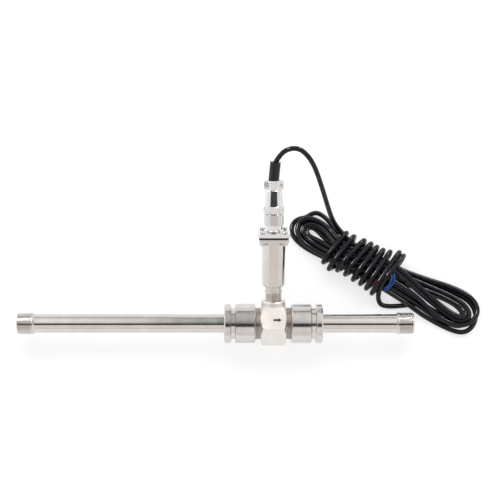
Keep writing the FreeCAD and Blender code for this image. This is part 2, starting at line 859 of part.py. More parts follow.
def clamp_spot_face(x, side):
    """A cutter that clears the saddle for a screw head on the face of an ear."""
    start = FreeCAD.Vector(x, side * clamp_ear_face, clamp_middle)
    radius = clamp_screw_head_diameter / 2 + clamp_head_gap
    return Part.makeCylinder(radius, clamp_outer_diameter, start, FreeCAD.Vector(0, side, 0))


def clamp_strap():
    """The loose half of the clamp, on the side that faces the ground."""
    return clamp_half(-1)


def clamp_screws():
    """Two slotted screws through the ears, put in from opposite sides."""
    screws = []
    shank_length = 2 * clamp_ear_face + clamp_screw_end + let_in
    slot_reach = clamp_screw_head_diameter / 2 + cut_past
    for x, side in zip(clamp_screw_places(), (-1, 1)):
        toward = FreeCAD.Vector(0, side, 0)
        tip = FreeCAD.Vector(x, -side * (clamp_ear_face + clamp_screw_end), clamp_middle)
        shank = Part.makeCylinder(clamp_screw_diameter / 2, shank_length, tip, toward)
        seat = FreeCAD.Vector(x, side * clamp_ear_face, clamp_middle)
        head = Part.makeCylinder(clamp_screw_head_diameter / 2, clamp_screw_head_height, seat, toward)
        top = side * (clamp_ear_face + clamp_screw_head_height)
        corner = FreeCAD.Vector(x - slot_reach, top - screw_slot_depth, clamp_middle - screw_slot_width / 2)
        slot = Part.makeBox(2 * slot_reach, 2 * screw_slot_depth, screw_slot_width, corner)
        slot.rotate(seat, along_y, clamp_slot_degrees)
        screws.append(shank.fuse(head).cut(slot).removeSplitter())
    return Part.makeCompound(screws)


def rounded_route(points, fixed_radius=None):
    """A wire of straight runs joined by tangent arcs, and the radii of the arcs."""
    places = [FreeCAD.Vector(*p) for p in points]
    edges, radii = [], []
    at = places[0]
    for before, corner, after in zip(places, places[1:], places[2:]):
        back = (before - corner).normalize()
        ahead = (after - corner).normalize()
        half_turn = (math.pi - back.getAngle(ahead)) / 2
        shorter = min((before - corner).Length, (after - corner).Length)
        radius = fixed_radius or 0.45 * shorter / math.tan(half_turn)
        setback = radius * math.tan(half_turn)
        start = corner + back * setback
        end = corner + ahead * setback
        bisector = (back + ahead).normalize()
        middle = corner + bisector * (radius / math.cos(half_turn) - radius)
        edges.append(Part.LineSegment(at, start).toShape())
        edges.append(Part.Arc(start, middle, end).toShape())
        radii.append(radius)
        at = end
    edges.append(Part.LineSegment(at, places[-1]).toShape())
    return Part.Wire(edges), radii


def tube(points, diameter, fixed_radius=None):
    """A round bar that follows a route, with its own length and bend radii."""
    path, radii = rounded_route(points, fixed_radius)
    start = FreeCAD.Vector(*points[0])
    ahead = FreeCAD.Vector(*points[1]) - start
    section = Part.Wire(Part.makeCircle(diameter / 2, start, ahead))
    return path.makePipeShell([section], True, False), path.Length, radii


def sleeve_points():
    """The axis of the shrink sleeve on the stem: up through the clamp and then leaning downstream."""
    lean = math.radians(sleeve_lean_degrees)
    bend = clamp_top + sleeve_bend_radius * math.tan(lean / 2)
    rest = sleeve_length - (bend - clamp_base)
    return [(0, 0, clamp_base), (0, 0, bend), (rest * math.sin(lean), 0, bend + rest * math.cos(lean))]


def strain_sleeve():
    """The shrink sleeve over the end of the cable, held in the clamp."""
    return tube(sleeve_points(), sleeve_diameter, sleeve_bend_radius)[0]


def lead_start():
    """Where the cable starts, just inside the middle of the sleeve's upper end, as the meter lies."""
    lean = math.radians(sleeve_lean_degrees)
    x, y, z = sleeve_points()[-1]
    inside = Part.Vertex(x - lead_sunk * math.sin(lean), y, z - lead_sunk * math.cos(lean))
    end = on_stem(inside).Point
    return (end.x, end.y, end.z)


def hank_slab(near, far, base, top):
    """A flat pad whose outline is two round ends and the two lines that touch both of them."""
    near_u, near_w, near_radius = near
    far_u, far_w, far_radius = far
    heading = math.atan2(far_w - near_w, far_u - near_u)
    side = math.acos((near_radius - far_radius) / math.hypot(far_u - near_u, far_w - near_w))

    def rim(u, w, radius, turn):
        along = radius * math.cos(heading + turn)
        across = radius * math.sin(heading + turn)
        return FreeCAD.Vector(u + along, w + across, base)

    near_low, near_high = rim(*near, -side), rim(*near, side)
    far_low, far_high = rim(*far, -side), rim(*far, side)
    outline = [
        Part.Arc(near_low, rim(*near, math.pi), near_high).toShape(),
        Part.LineSegment(near_high, far_high).toShape(),
        Part.Arc(far_high, rim(*far, 0), far_low).toShape(),
        Part.LineSegment(far_low, near_low).toShape(),
    ]
    return Part.Face(Part.Wire(outline)).extrude(FreeCAD.Vector(0, 0, top - base))


def hank_wraps():
    """The bound waist of the hank, an oval bar along it."""
    oval = Part.Ellipse(origin, hank_wraps_half_width, hank_wraps_half_height)
    section = Part.Face(Part.Wire([oval.toShape()]))
    section.rotate(origin, along_z, 90)
    section.rotate(origin, along_y, 90)
    height = hank_wraps_half_height - hexagon_across_flats / 2
    section.translate(FreeCAD.Vector(hank_wraps_from, hank_wraps_aside, height))
    return section.extrude(FreeCAD.Vector(hank_wraps_to - hank_wraps_from, 0, 0))


def cable_hank():
    """The outer shape of the wound cable: the bound waist, two layers of fanned turns and the tail."""
    ground = -hexagon_across_flats / 2
    lower = ground + hank_lower_height
    upper = ground + hank_upper_height
    layers = [
        hank_slab(hank_lower_left, hank_waist, ground, lower),
        hank_slab(hank_waist, hank_lower_right, ground, lower),
        hank_slab(hank_loose_loop, hank_waist, ground, lower),
        hank_slab(hank_upper_left, hank_waist, ground, upper),
        hank_slab(hank_waist, hank_upper_right, ground, upper),
        hank_slab(hank_tail_bend, hank_tail_end, ground, ground + hank_tail_height),
    ]
    solid = hank_wraps().fuse(layers).removeSplitter()
    solid.rotate(origin, along_z, hank_turn_degrees)
    solid.translate(FreeCAD.Vector(hank_middle[0], hank_middle[1], 0))
    return solid


def laid_down(shape):
    """Turns a piece from upright, stem along +Z, to how the meter lies."""
    turned = shape.copy()
    turned.rotate(origin, along_x, -lean_degrees)
    return turned


def on_stem(shape):
    """Brings a piece that is modelled about the stem to its place on the meter."""
    moved = shape.copy()
    moved.translate(FreeCAD.Vector(stem_x, 0, 0))
    return laid_down(moved)


def outlet_pipe():
    """The short run after the meter, its threaded end at the far end of the object."""
    pipe = pipe_run(outlet_run, collar_outer - sleeve_end)
    return pipe.mirror(FreeCAD.Vector(overall_length / 2, 0, 0), along_x)


os.makedirs("parts", exist_ok=True)

pieces = {
    "meter_body": laid_down(meter_body()),
    "inlet_pipe": laid_down(pipe_run(inlet_run, collar_outer - sleeve_end)),
    "outlet_pipe": laid_down(outlet_pipe()),
    "rotor": laid_down(rotor()),
    "rotor_shaft": laid_down(rotor_shaft()),
}
for name, make in (
    ("collar", collar),
    ("union_sleeve", union_sleeve),
    ("union_nut", union_nut),
    ("seal_ring", seal_ring),
    ("flow_straightener", carrier),
    ("bearing", bush),
    ("retaining_ring", retaining_ring),
):
    pieces["inlet_" + name] = laid_down(make())
    pieces["outlet_" + name] = laid_down(mirrored_to_outlet(make()))
for name, make in (
    ("pickup_stem", pickup_stem),
    ("pickup_magnet", pickup_magnet),
    ("pickup_coil", pickup_coil),
    ("amplifier_housing", housing),
    ("amplifier_board", amplifier_board),
    ("head_gasket", head_gasket),
    ("receptacle_shell", receptacle_shell),
    ("receptacle_insert", receptacle_insert),
    ("contact_pins", contact_pins),
    ("flange_screws", flange_screws),
    ("flange_nuts", flange_nuts),
    ("coupling_ring", coupling_ring),
    ("plug_shell", plug_shell),
    ("plug_insert", plug_insert),
    ("backshell", backshell),
    ("clamp_strap", clamp_strap),
    ("clamp_screws", clamp_screws),
    ("strain_sleeve", strain_sleeve),
):
    pieces[name] = on_stem(make())
lead, lead_length, lead_radii = tube((lead_start(),) + lead_route, cable_diameter)
pieces["cable_lead"] = lead
pieces["cable_hank"] = cable_hank()

for name, shape in pieces.items():
    shape.exportStep(f"parts/{name}.step")
    solids, faces = len(shape.Solids), len(shape.Faces)
    print(f"{name}: {solids} solid(s), valid {shape.isValid()}, {shape.Volume:.1f} mm3, {faces} faces")

section_area = math.pi * cable_diameter ** 2 / 4
print("lead starts at", [round(c, 2) for c in lead_start()])
print(f"lead length {lead_length:.1f}, its volume over section times length",
      round(lead.Volume / (section_area * lead_length), 4))
print("bend radii of the lead:", [round(r, 1) for r in lead_radii])
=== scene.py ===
"""An inline turbine flow meter between two threaded pipe runs, with its plug and its wound cable."""
import json
import math

import bmesh
import bpy
from mathutils import Euler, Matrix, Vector


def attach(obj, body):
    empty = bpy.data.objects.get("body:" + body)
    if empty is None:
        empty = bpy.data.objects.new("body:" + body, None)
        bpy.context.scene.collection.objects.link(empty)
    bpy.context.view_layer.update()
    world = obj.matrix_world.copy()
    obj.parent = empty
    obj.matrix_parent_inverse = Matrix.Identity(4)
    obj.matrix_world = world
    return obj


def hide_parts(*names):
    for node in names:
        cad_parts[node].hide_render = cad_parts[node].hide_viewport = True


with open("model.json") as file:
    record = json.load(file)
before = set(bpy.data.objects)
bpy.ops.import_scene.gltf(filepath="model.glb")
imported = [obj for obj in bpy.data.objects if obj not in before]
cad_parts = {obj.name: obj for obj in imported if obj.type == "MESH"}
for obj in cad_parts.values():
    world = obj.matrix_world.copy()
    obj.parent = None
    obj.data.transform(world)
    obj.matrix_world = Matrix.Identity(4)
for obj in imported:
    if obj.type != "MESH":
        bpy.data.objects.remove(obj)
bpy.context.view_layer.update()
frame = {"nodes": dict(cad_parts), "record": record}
nodes = frame["nodes"]

# The stem leans back from upright by stem_lean and stands at stem_x along the pipes
stem_lean = math.radians(60)
stem_x = 0.2454
stem_axis = Vector((0, math.sin(stem_lean), math.cos(stem_lean)))
ground = -0.019


# Camera, tilted back from straight down

camera_tilt = math.radians(18)
camera_distance = 1.4
camera_target = Vector((0.2173, 0.0725, 0.0235))
pixels_across, metres_a_pixel = 488, 0.00096
sensor_width = 36
camera_data = bpy.data.cameras.new("camera")
camera = bpy.data.objects.new("camera", camera_data)
bpy.context.scene.collection.objects.link(camera)
camera.rotation_euler = Euler((camera_tilt, 0, 0))
camera.location = camera_target + camera.rotation_euler.to_matrix() @ Vector((0, 0, camera_distance))
camera_data.sensor_width = sensor_width
camera_data.lens = sensor_width * camera_distance / (pixels_across * metres_a_pixel)
camera_data.clip_start = 0.05
camera_data.clip_end = 20
bpy.context.scene.camera = camera


# Cable: the free stretch, six turns, the wraps round their waist, and the tail

cable_diameter = 0.0048

# The free stretch, in millimetres
lead_points = (
    (246.81, 135.22, 78.07), (251.6, 141.7, 84), (259.8, 145.1, 88.7), (269, 144.7, 89.5),
    (277, 139, 86), (283.1, 131.6, 79.1), (288, 123.4, 66.9), (293.1, 114, 52.6),
    (297.9, 105.8, 35.1), (302.7, 99.5, 18.5), (308, 95.5, 6.1), (314.9, 91, -2.8),
)

# The hank's own frame: along it, across it, and height above the ground, in millimetres
hank_middle = (349.4, 55.1)
hank_turn = math.radians(-28.5)
turn_points = (
    (-38, 12.2, 12.2), (-22, 12, 12), (-7, 11.8, 12), (8, 11.5, 12), (20, 11.2, 11.2),
    (34, 13.6, 9.3), (50, 16.8, 7.4), (67, 19.9, 7.2), (82, 20.9, 7.2), (92.5, 19, 7.2),
    (99.6, 14.6, 7.2), (103.2, 8, 7.2), (102.6, 0.5, 7.2), (98.6, -7.4, 7.2), (89.8, -12.6, 7.4),
    (77.7, -13.6, 7.4), (64, -11.8, 8), (52, -8.2, 10), (36, -4.6, 11.8), (20, -2.8, 12),
    (8, -2.2, 12), (-8, -6.5, 12), (-26, -10.4, 12), (-46, -12, 12), (-54, -11.2, 10.2),
    (-63, -10.4, 8), (-74, -9.6, 7.2), (-82.6, -7.2, 7.2), (-89.2, -2.2, 7.2), (-92.4, 4.4, 7.2),
    (-92, 11, 7.2), (-88.4, 15.8, 7.2), (-82, 18.2, 7.2), (-74, 18.6, 7.2), (-65, 17, 7.8),
    (-55, 11.6, 10.4), (-46, 7.6, 12), (-27, 7.2, 12), (-8, 7.2, 12), (8, 7, 12), (20, 7.4, 11),
    (36, 9, 8.8), (54, 10.9, 7.2), (68, 11.9, 7.2), (79, 11.8, 7.2), (89, 9.6, 7.2),
    (96, 5.2, 7.2), (97.6, -0.6, 7.2), (93.4, -6, 7.2), (85.6, -8.2, 7.3), (76, -6.6, 7.4),
    (60, -3.9, 8.4), (43, -1, 11.6), (27, 3, 14.6), (8, 6, 16.8), (-6, 2, 16.8), (-20, -3.5, 14.5),
    (-33, -6.5, 12.3), (-46, -7.2, 12), (-54, -6.2, 10.4), (-63, -5.2, 8), (-74, -4.2, 7.2),
    (-82, -1.4, 7.2), (-86.2, 4, 7.2), (-84.6, 10.4, 7.2), (-77, 13.8, 7.2), (-66, 12.4, 7.8),
    (-55, 6.2, 10.4), (-46, 2.6, 12), (-27, 2.6, 12), (-8, 2.4, 12), (8, 2.3, 12), (20, 2.2, 11),
    (34, 3.6, 9), (48, 5.2, 7.2), (62, 6.9, 7.2), (74, 7.1, 7.2), (82.5, 6.6, 7.2),
    (88.6, 5.2, 8.4), (93.4, 1.4, 10.6), (92.4, -3.6, 12), (86.6, -5.2, 11.8), (77, -4.2, 11.4),
    (67, -2.6, 11.4), (51, 1.4, 12.2), (40, 4.2, 13.2), (28, 7.2, 15), (10, 10.8, 16.8),
    (-6, 6.7, 16.8), (-20, 2, 16.8), (-33, -1.4, 14.6), (-46, -2.4, 12), (-54, -1.4, 10.6),
    (-62, 0, 8.6), (-70, 0.4, 7.2), (-77.4, 0.2, 6.8), (-82.8, 4.2, 5.4), (-82.2, 9.6, 3.8),
    (-75.6, 11.6, 2.6), (-63, 6.6, 2.8), (-54, 4.6, 5.2), (-46, 2.6, 7.2), (-27, 2.4, 7.2),
    (-8, 2.4, 7.2), (8, 2.4, 7.2), (20, 2.2, 5.6), (36, 3.4, 2.6), (54, 6, 2.4), (68, 7.4, 2.4),
    (80, 7.2, 2.4), (88.5, 4.6, 2.4), (92, -0.4, 2.4), (90, -5.4, 2.4), (83, -8.4, 2.4),
    (71, -8.6, 2.4), (58, -7.8, 2.8), (47, -6.8, 5.6), (36, -5.8, 7), (22, -4.4, 7), (8, -3, 7.2),
    (-8, -2.6, 7.2), (-27, -2.4, 7.2), (-46, -2.4, 7.2), (-54, -2.2, 5.6), (-63, -1.8, 3),
    (-73, -1, 2.4), (-81.5, 0.6, 2.4), (-87.2, 5.6, 2.4), (-84.4, 12.6, 2.4), (-76, 14.8, 2.4),
    (-65, 12.4, 2.6), (-55, 9.4, 4.8), (-46, 7.4, 7.2), (-27, 7.2, 7.2), (-8, 7.2, 7.2),
    (8, 7.2, 7.2), (20, 7.4, 5.8), (36, 9, 2.8), (54, 11.4, 2.4), (68, 12.7, 2.4), (82, 12.6, 2.4),
    (92, 9.6, 2.4), (97.6, 3.6, 2.4), (98.2, -3.6, 2.4), (94.2, -9.8, 2.4), (86.5, -12.8, 2.4),
    (74, -13.4, 2.4), (59, -12.8, 4), (48, -11.8, 6.8), (36, -10.6, 7.4), (22, -9.2, 7.2),
    (8, -7.8, 7.2), (-8, -7.4, 7.2), (-27, -7.2, 7.2), (-46, -7.2, 7.2), (-54, -7, 5.4),
    (-63, -6.8, 3), (-73, -6.2, 2.4), (-83, -4.6, 2.4), (-90, 0.6, 2.4), (-92, 7.5, 2.4),
    (-88.5, 14, 2.4), (-81, 18.4, 2.4), (-71, 18.8, 2.4), (-61, 16, 3.2), (-53, 13.2, 5.6),
    (-46, 12, 7.2), (-27, 12, 7.2), (-8, 12, 7.2), (8, 12, 7.2), (20, 12.4, 6), (34, 13.8, 3.2),
    (50, 16, 2.4), (67, 17.8, 2.4), (82, 18.2, 2.4), (93.5, 15.8, 2.4), (101, 10, 2.4),
    (104.4, 2.5, 2.4), (104.4, -6, 2.4), (100.6, -13.4, 2.4), (92.5, -17.2, 2.4), (76, -18.3, 2.4),
    (58, -17.8, 3.4), (48, -16.9, 6.2), (36, -15.4, 7.4), (22, -14, 7.2), (8, -12.8, 7.2),
    (-8, -12.2, 7.2), (-27, -12, 7.2), (-46, -12, 7.2), (-54, -11.8, 5.4), (-63, -11.4, 3),
    (-73, -11, 2.4), (-84, -9.4, 2.4), (-92.6, -5.4, 2.4), (-97.4, 0.8, 2.4), (-98, 7.6, 2.4),
    (-95, 13.2, 2.4), (-89.8, 17.2, 2.4), (-87.4, 22, 2.4), (-83.8, 26.6, 2.4), (-77.4, 27.6, 2.4),
    (-70, 25.8, 2.4), (-62.4, 21.8, 2.4), (-55, 18.6, 3.4), (-49.6, 18.8, 5.6),
)

# Each wrap: along and across at the upper side, its height on top, along and across at the lower side
wrap_places = (
    (-45.4, 19.6, 18, -52.4, -17.8), (-37, 19.4, 20, -44.4, -21.6), (-26, 20, 21.6, -36.6, -19),
    (-18.6, 20.2, 21.6, -27.8, -19.2), (-12.2, 20, 21.6, -18.6, -20.4),
    (-5.6, 20.2, 21.6, -10.4, -20.8), (1.2, 21.8, 21.6, -3.2, -22.2), (9.4, 25.6, 21.6, 3.8, -24),
)
last_wrap_top = (14.2, 25.2)
tail_points = (
    (14.4, 25.6, 9), (14.2, 23.6, 17.6), (12.8, 13, 21.9), (10.8, 1.5, 22), (9.2, -7, 20.6),
    (8.6, -14, 16), (9.6, -21, 9.6), (12.4, -25, 3.8), (17, -27.6, 2.4), (24.4, -25, 2.4),
    (31, -21, 2.4), (37, -17, 2.4), (42.5, -13.2, 2.4), (47, -9.8, 2.4),
)


def in_hank(point):
    """A point of the hank's own frame, in metres in the row frame."""
    along, across, height = point
    x = hank_middle[0] + along * math.cos(hank_turn) - across * math.sin(hank_turn)
    y = hank_middle[1] + along * math.sin(hank_turn) + across * math.cos(hank_turn)
    return (x / 1000, y / 1000, height / 1000 + ground)


def wrap_points():
    """The wraps round the waist, each over the top and back under the turns."""
    lying, rising = 2.4, 3.0
    points = []
    tops = [(along, across) for along, across, _, _, _ in wrap_places[1:]] + [last_wrap_top]
    for (along, across, height, low_along, low_across), (next_along, next_across) in zip(wrap_places, tops):
        over, down = low_along - along, low_across - across
        onward, up = next_along - low_along, next_across - low_across
        middle = height / 2 + 1.2
        points += [
            (along, across, middle - 2.5),
            (along + 0.06 * over, across - 0.5, height - 4.0),
            (along + 0.2 * over, across + 0.16 * down, height - 0.2),
            (along + 0.42 * over, across + 0.4 * down, height + 0.3),
            (along + 0.62 * over, across + 0.62 * down, height),
            (along + 0.84 * over, across + 0.84 * down, height - 1.2),
            (along + 0.97 * over, across + 0.985 * down, middle + 2.0),
            (low_along, low_across + 0.2, middle - 3.0),
            (low_along + 0.06 * onward, low_across + 0.1 * up, rising),
            (low_along + 0.3 * onward, low_across + 0.3 * up, lying),
            (low_along + 0.7 * onward, low_across + 0.7 * up, lying),
            (low_along + 0.94 * onward, low_across + 0.9 * up, rising),
        ]
    return points


def cord_curve(name, points, radius, roundness):
    """A round cord along one smooth spline drawn by its points, which are in metres."""
    curve = bpy.data.curves.new(name, "CURVE")
    curve.dimensions = "3D"
    spline = curve.splines.new("NURBS")
    spline.points.add(len(points) - 1)
    for spot, point in zip(spline.points, points):
        spot.co = (*point, 1)
        spot.radius = radius
    spline.order_u = 3
    spline.use_endpoint_u = True
    spline.resolution_u = 6
    curve.bevel_depth = 1.0
    curve.bevel_resolution = roundness
    curve.use_fill_caps = True
    cord = bpy.data.objects.new(name, curve)
    bpy.context.scene.collection.objects.link(cord)
    return cord


lead = [(x / 1000, y / 1000, z / 1000) for x, y, z in lead_points]
hank = [in_hank(point) for point in (*turn_points, *wrap_points(), *tail_points)]
cable = cord_curve("cable", lead + hank, cable_diameter / 2, 6)
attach(cable, "meter")
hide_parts("cable_lead", "cable_hank")

# The bare far end's coloured wires, back under the turns and up beside the last wrap
wire_radius = 0.0009
wire_routes = {
    "wire_blue": (
        (46, -12.4, 2.4), (40, -8, 2), (28, -3.2, 2.2), (19, 1.4, 6), (15, 3.6, 12),
        (12.6, 3.4, 17.6), (14.6, 1.2, 19.2), (17.4, -2.4, 18.8), (18.2, -6.5, 17.6),
        (17, -11.2, 15), (14.2, -14.6, 12), (12, -15.6, 9), (11.4, -13.6, 7.6),
    ),
    "wire_light": (
        (46.8, -12, 2.8), (41, -7.2, 2.4), (29, -1.8, 3), (20.4, 1, 7), (15.4, 1, 13),
        (12.2, 0.4, 18.6), (13.2, -1.6, 19.6), (15.2, -4.8, 18.8), (15.6, -9.4, 16.8),
        (13.8, -13, 13.8), (11.8, -13.8, 10.2),
    ),
    "wire_red": (
        (45.6, -12.9, 1.6), (39, -8.6, 1), (27, -3.8, 1.2), (19, -0.4, 6), (15, 0.4, 12),
        (11.6, 0.2, 18.2), (8.4, -3, 20.2), (5.4, -6.4, 20.6), (3.4, -10.4, 20), (1.6, -15.6, 17),
    ),
    "wire_green": (
        (46.2, -11.8, 3.1), (40.4, -7.4, 2.8), (28.6, -2.4, 3.2), (20.6, -0.6, 7), (17, 2.2, 13),
        (13.6, 6.8, 18.4), (11.4, 4.2, 20.8), (9.4, 0.4, 21), (6.4, -3, 20.4),
    ),
}
wires = []
for wire_name, route in wire_routes.items():
    wire = cord_curve(wire_name, [in_hank(point) for point in route], wire_radius, 2)
    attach(wire, "meter")
    wires.append(wire)


# Materials. Object coordinates are metres in the row frame, so every pattern has its real scale

def add(tree, kind, **values):
    """A node with its settings and its inputs' values."""
    node = tree.nodes.new(kind)
    for key, value in values.items():
        if key in node.inputs:
            node.inputs[key].default_value = value
        else:
            setattr(node, key, value)
    return node


def calculate(tree, operation, *values):
    """The result of an operation on sockets and numbers."""
    node = add(tree, "ShaderNodeMath", operation=operation)
    for value, socket in zip(values, node.inputs):
        if isinstance(value, bpy.types.NodeSocket):
            tree.links.new(value, socket)
        else:
            socket.default_value = value
    return node.outputs[0]


def blend(tree, factor, first, second, **settings):
    """One colour mixed with another."""
    node = add(tree, "ShaderNodeMix", data_type="RGBA", **settings)
    for value, name in ((factor, "Factor"), (first, "A"), (second, "B")):
        if isinstance(value, bpy.types.NodeSocket):
            tree.links.new(value, node.inputs[name])
        else:
            node.inputs[name].default_value = value
    return node.outputs["Result"]


def place(tree, scale, upright=False):
    """Object coordinates, turned so that the stem is along Z where asked, times a scale."""
    source = add(tree, "ShaderNodeTexCoord").outputs["Object"]
    if upright:
        turn = add(tree, "ShaderNodeMapping")
        turn.inputs["Rotation"].default_value = (stem_lean, 0, 0)
        turn.inputs["Location"].default_value = (-stem_x, 0, 0)
        tree.links.new(source, turn.inputs["Vector"])
        source = turn.outputs["Vector"]
    stretch = add(tree, "ShaderNodeMapping")
    stretch.inputs["Scale"].default_value = scale
    tree.links.new(source, stretch.inputs["Vector"])
    return stretch.outputs["Vector"]


def noise(tree, vector, detail):
    """Noise of one cycle per unit of the vector."""
    node = add(tree, "ShaderNodeTexNoise", Scale=1.0, Detail=detail, Roughness=0.55, Distortion=0.0)
    tree.links.new(vector, node.inputs["Vector"])
    return node.outputs["Fac"]


def spread(tree, value, low, high, start=0.3, end=0.7):
    """A value from start to end brought to low to high."""
    node = add(tree, "ShaderNodeMapRange")
    tree.links.new(value, node.inputs["Value"])
    for key, number in (("From Min", start), ("From Max", end), ("To Min", low), ("To Max", high)):
        node.inputs[key].default_value = number
    return node.outputs["Result"]


def shade(tree, value, stops):
    """A colour for each value, from (value, colour) stops."""
    node = add(tree, "ShaderNodeValToRGB")
    tree.links.new(value, node.inputs["Fac"])
    elements = node.color_ramp.elements
    while len(elements) < len(stops):
        elements.new(0.5)
    for element, (position, colour) in zip(elements, stops):
        element.position = position
        element.color = (*colour, 1)
    return node.outputs["Color"]


def relief(tree, shader, height, strength, distance):
    """Raises the surface by a height, after any relief that it already has."""
    node = add(tree, "ShaderNodeBump", Strength=strength, Distance=distance)
    tree.links.new(height, node.inputs["Height"])
    before = shader.inputs["Normal"].links
    if before:
        tree.links.new(before[0].from_socket, node.inputs["Normal"])
    tree.links.new(node.outputs["Normal"], shader.inputs["Normal"])


def fresh(name, metallic, roughness, **values):
    """A new material, its tree and its shader."""
    made = bpy.data.materials.new(name)
    made.use_nodes = True
    shader = made.node_tree.nodes["Principled BSDF"]
    shader.inputs["Metallic"].default_value = metallic
    shader.inputs["Roughness"].default_value = roughness
    for key, value in values.items():
        shader.inputs[key.replace("_", " ")].default_value = value
    return made, made.node_tree, shader


def metal(name, colour, roughness, lines, upright=False, line_depth=0.5, blotch=0.06, waviness=0.0):
    """A metal with tool or grinding lines and faint handling marks.

    lines has its large numbers across the tool lines, in cycles a metre, and waviness is the swell of a casting.
    """
    made, tree, shader = fresh(name, 1.0, roughness)
    cloud = noise(tree, place(tree, (70, 70, 70), upright), 4.0)
    grain = noise(tree, place(tree, lines, upright), 2.0)
    darker = tuple(c * (1 - 2 * blotch) for c in colour)
    tree.links.new(shade(tree, cloud, ((0.3, darker), (0.7, colour))), shader.inputs["Base Color"])
    worn = spread(tree, cloud, roughness * 0.8, roughness * 1.15)
    total = calculate(tree, "ADD", worn, spread(tree, grain, -0.02, 0.05))
    tree.links.new(total, shader.inputs["Roughness"])
    relief(tree, shader, grain, line_depth, 0.00001)
    if waviness:
        swell = noise(tree, place(tree, (160, 160, 160), upright), 1.0)
        relief(tree, shader, swell, waviness, 0.0001)
    return made


def plain(
    name, colour, roughness, grain=2500, grain_depth=0.3, variation=0.25, upright=False, stretch=(1, 1, 1),
    **values,
):
    """A plastic or rubber, a little uneven in colour and gloss, with a fine grain in cycles a metre."""
    made, tree, shader = fresh(name, 0.0, roughness, **values)
    cloud = noise(tree, place(tree, tuple(90 * s for s in stretch), upright), 4.0)
    fine = noise(tree, place(tree, tuple(grain * s for s in stretch), upright), 2.0)
    low = tuple(c * (1 - variation) for c in colour)
    high = tuple(min(1.0, c * (1 + variation)) for c in colour)
    tree.links.new(shade(tree, cloud, ((0.3, low), (0.7, high))), shader.inputs["Base Color"])
    tree.links.new(spread(tree, cloud, roughness * 0.85, roughness * 1.2), shader.inputs["Roughness"])
    relief(tree, shader, fine, grain_depth, 0.00003)
    return made


turned = (5200, 24, 24)
drawn = (30, 2600, 2600)
stem_turned = {"lines": (24, 24, 5200), "upright": True}
body_blast = (900, 900, 900)
materials = {
    "turned_steel": metal("turned_steel", (0.70, 0.68, 0.66), 0.15, turned),
    "body_steel": metal("body_steel", (0.84, 0.80, 0.77), 0.34, body_blast, line_depth=0.3),
    "pipe_steel": metal("pipe_steel", (0.70, 0.675, 0.65), 0.12, drawn, line_depth=0.25),
    "nut_steel": metal("nut_steel", (0.69, 0.67, 0.66), 0.15, turned),
    "stem_steel": metal("stem_steel", (0.66, 0.64, 0.60), 0.2, **stem_turned),
    "housing_steel": metal("housing_steel", (0.74, 0.71, 0.68), 0.2, **stem_turned, line_depth=0.6),
    "rotor_steel": metal("rotor_steel", (0.56, 0.56, 0.57), 0.22, body_blast),
    "spring_steel": metal("spring_steel", (0.34, 0.34, 0.36), 0.3, turned, blotch=0.12),
    "shaft_carbide": metal("shaft_carbide", (0.3, 0.3, 0.32), 0.12, turned),
    "magnet_nickel": metal("magnet_nickel", (0.7, 0.68, 0.62), 0.18, (400, 400, 400), upright=True),
    "connector_chrome": metal(
        "connector_chrome", (0.84, 0.84, 0.84), 0.13, (500, 500, 500), upright=True, line_depth=0.2, waviness=0.1,
    ),
    "ring_nickel": metal("ring_nickel", (0.74, 0.73, 0.72), 0.26, **stem_turned, line_depth=0.7),
    "screw_steel": metal(
        "screw_steel", (0.66, 0.66, 0.67), 0.2, (1600, 1600, 1600), upright=True, line_depth=0.3,
    ),
    "contact_brass": metal("contact_brass", (0.8, 0.6, 0.25), 0.2, (1200, 1200, 1200), upright=True),
    "gasket_black": plain("gasket_black", (0.018, 0.018, 0.018), 0.55, grain=1800, grain_depth=0.6),
    "seal_white": plain("seal_white", (0.8, 0.8, 0.78), 0.4, variation=0.05),
    "insulator_black": plain("insulator_black", (0.03, 0.03, 0.032), 0.45),
    "shrink_black": plain(
        "shrink_black", (0.012, 0.013, 0.015), 0.3, grain=900, grain_depth=0.5,
        upright=True, stretch=(1, 1, 0.12), Specular_IOR_Level=0.4,
    ),
    "cable_black": plain(
        "cable_black", (0.006, 0.0065, 0.011), 0.13, grain=700, grain_depth=0.03, Specular_IOR_Level=0.32,
    ),
    "wire_blue": plain("wire_blue", (0.01, 0.08, 0.36), 0.2),
    "wire_light": plain("wire_light", (0.02, 0.12, 0.46), 0.2),
    "wire_red": plain("wire_red", (0.40, 0.05, 0.03), 0.25),
    "wire_green": plain("wire_green", (0.02, 0.22, 0.06), 0.35),
    "arrow_black": plain("arrow_black", (0.004, 0.004, 0.004), 0.6),
}


def wound_copper():
    """Enamelled copper wire, wound in close turns."""
    made, tree, shader = fresh("coil_copper", 1.0, 0.3)
    wave = add(tree, "ShaderNodeTexWave", bands_direction="Z", Scale=0.5, Distortion=0.4)
    tree.links.new(place(tree, (1, 1, 4200), True), wave.inputs["Vector"])
    enamel = shade(tree, wave.outputs["Fac"], ((0.1, (0.2, 0.06, 0.02)), (0.6, (0.72, 0.34, 0.16))))
    tree.links.new(enamel, shader.inputs["Base Color"])
    relief(tree, shader, wave.outputs["Fac"], 0.8, 0.00008)
    return made


def circuit_board():
    """Green solder mask with lighter tracks."""
    made, tree, shader = fresh("board_green", 0.0, 0.35, Coat_Weight=0.3)
    cells = add(tree, "ShaderNodeTexVoronoi", distance="MANHATTAN", feature="DISTANCE_TO_EDGE", Scale=1.0)
    tree.links.new(place(tree, (420, 420, 420), True), cells.inputs["Vector"])
    tracks = shade(tree, cells.outputs["Distance"], ((0.04, (0.1, 0.28, 0.1)), (0.09, (0.02, 0.13, 0.05))))
    tree.links.new(tracks, shader.inputs["Base Color"])
    relief(tree, shader, cells.outputs["Distance"], 0.3, 0.00005)
    return made


